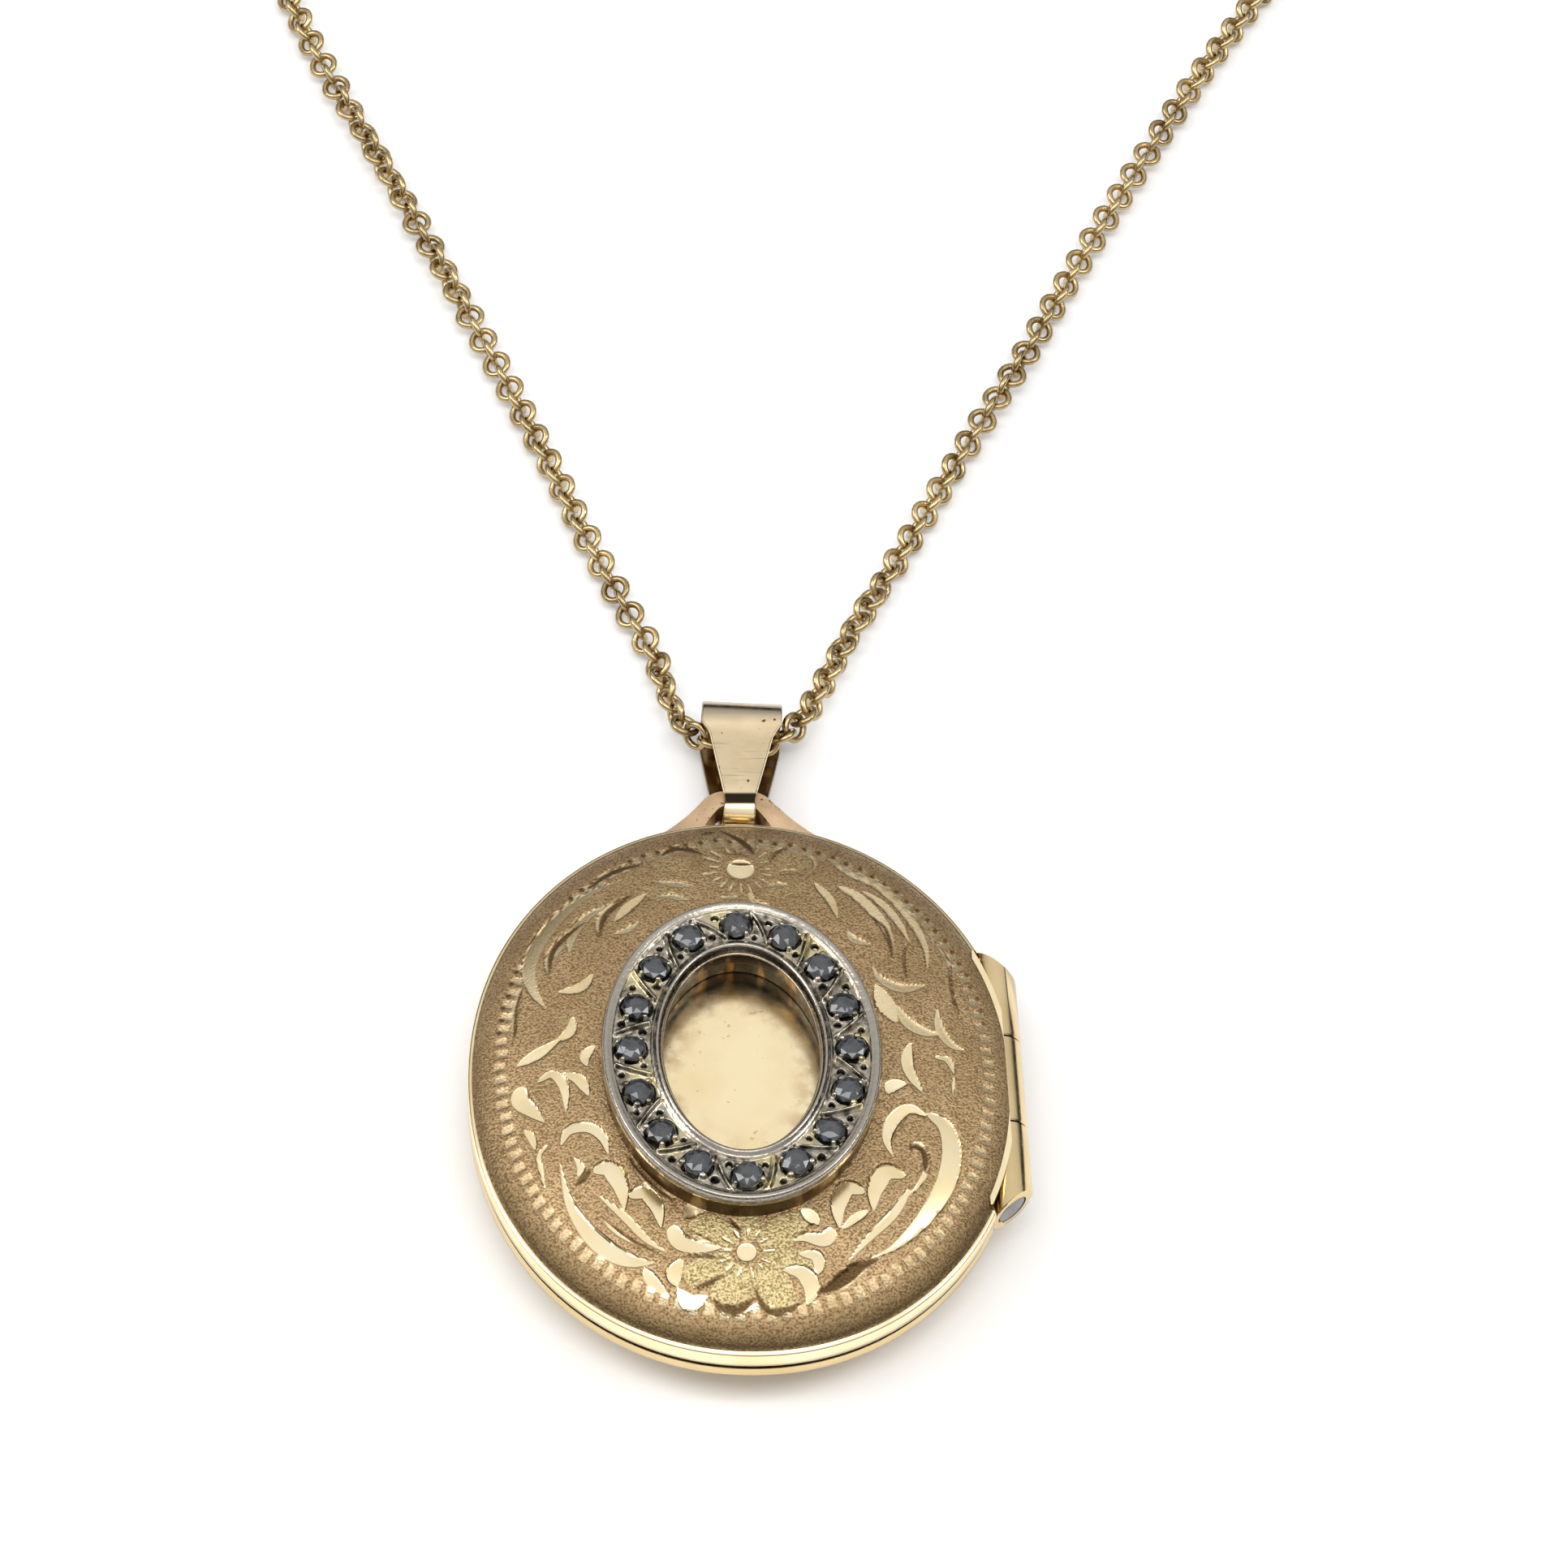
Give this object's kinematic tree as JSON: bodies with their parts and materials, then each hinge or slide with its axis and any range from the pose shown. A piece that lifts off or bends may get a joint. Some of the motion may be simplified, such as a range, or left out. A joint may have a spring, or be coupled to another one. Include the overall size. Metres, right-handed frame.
{
  "type": "locket",
  "caption": "Slightly oval hinged photo locket: engraved domed front with a raised stone-set well, folded bail and round-link chain with a spring-ring clasp.",
  "frame": {"origin": "middle of the back's flat face, where the locket rests", "axes": "+Z out of the engraved front, +Y from the locket towards its bail and chain, +X towards the cover's hinge"},
  "size_m": [0.0553, 0.1098, 0.007],
  "materials": {
    "engraved_gold": "matte stippled with bright-cut engraving",
    "bright_gold": "bright, lightly worn",
    "polished_gold": "mirror polished with fine scratches",
    "white_gold": "bright-cut pave setting, slightly tarnished",
    "rose_gold": "satin",
    "bail_gold": "polished with horizontal scratches",
    "chain_gold": "bright, softly worn",
    "grey_steel": "dull drawn wire",
    "dark_stone": "faceted, dark slate grey",
    "clear_window": "clear thin disc",
    "tie_paper": "matte paper band"
  },
  "bodies": {
    "chain": {"chain": "chain_gold", "chain_coil": "chain_gold", "chain_tail": "chain_gold", "coil_tie": "tie_paper", "clasp_body": "bright_gold", "clasp_spring": "grey_steel", "clasp_eyelet": "bright_gold", "clasp_jump_ring": "bright_gold", "chain_end_ring": "bright_gold"},
    "clasp_bolt": {"clasp_bolt": "bright_gold"},
    "bail": {"bail": "bail_gold"},
    "locket_back": {"back_cover": "bright_gold", "catch_rim": "polished_gold", "back_photo_frame": "polished_gold", "back_photo_window": "clear_window", "hinge_knuckle_upper": "bright_gold", "hinge_knuckle_lower": "bright_gold", "hinge_pin": "grey_steel", "hanging_loop": "rose_gold"},
    "front_cover": {"front_cover": "engraved_gold", "hinge_knuckle_middle": "bright_gold", "bezel_collar": "bright_gold", "well_plate": "polished_gold", "bezel_ring": "white_gold", "front_photo_frame": "polished_gold", "front_photo_window": "clear_window", "stone_01": "dark_stone", "stone_02": "dark_stone", "stone_03": "dark_stone", "stone_04": "dark_stone", "stone_05": "dark_stone", "stone_06": "dark_stone", "stone_07": "dark_stone", "stone_08": "dark_stone", "stone_09": "dark_stone", "stone_10": "dark_stone", "stone_11": "dark_stone", "stone_12": "dark_stone", "stone_13": "dark_stone", "stone_14": "dark_stone", "stone_15": "dark_stone", "stone_16": "dark_stone"}
  },
  "joints": [
    {"name": "clasp_thumb", "type": "hinge", "parent": "chain", "child": "clasp_bolt", "pos_m": [0.0173, 0.0826, 0.001], "axis": [0, 0, -1], "range_deg": [0, 50], "stiffness_Nm_per_rad": 0.00002, "springref_deg": -17.19, "deforming": ["clasp_spring"]},
    {"name": "bail_swing", "type": "hinge", "parent": "chain", "child": "bail", "pos_m": [0.0008, 0.02145, 0.0016], "axis": [-1, 0, 0], "range_deg": [0, 50]},
    {"name": "locket_swing", "type": "hinge", "parent": "bail", "child": "locket_back", "pos_m": [0.0003, 0.01635, 0.00285], "axis": [-1, 0, 0], "range_deg": [0, 90]},
    {"name": "cover_hinge", "type": "hinge", "parent": "locket_back", "child": "front_cover", "pos_m": [0.0119, 0, 0.00315], "axis": [0, 1, 0], "range_deg": [0, 165]}
  ]
}
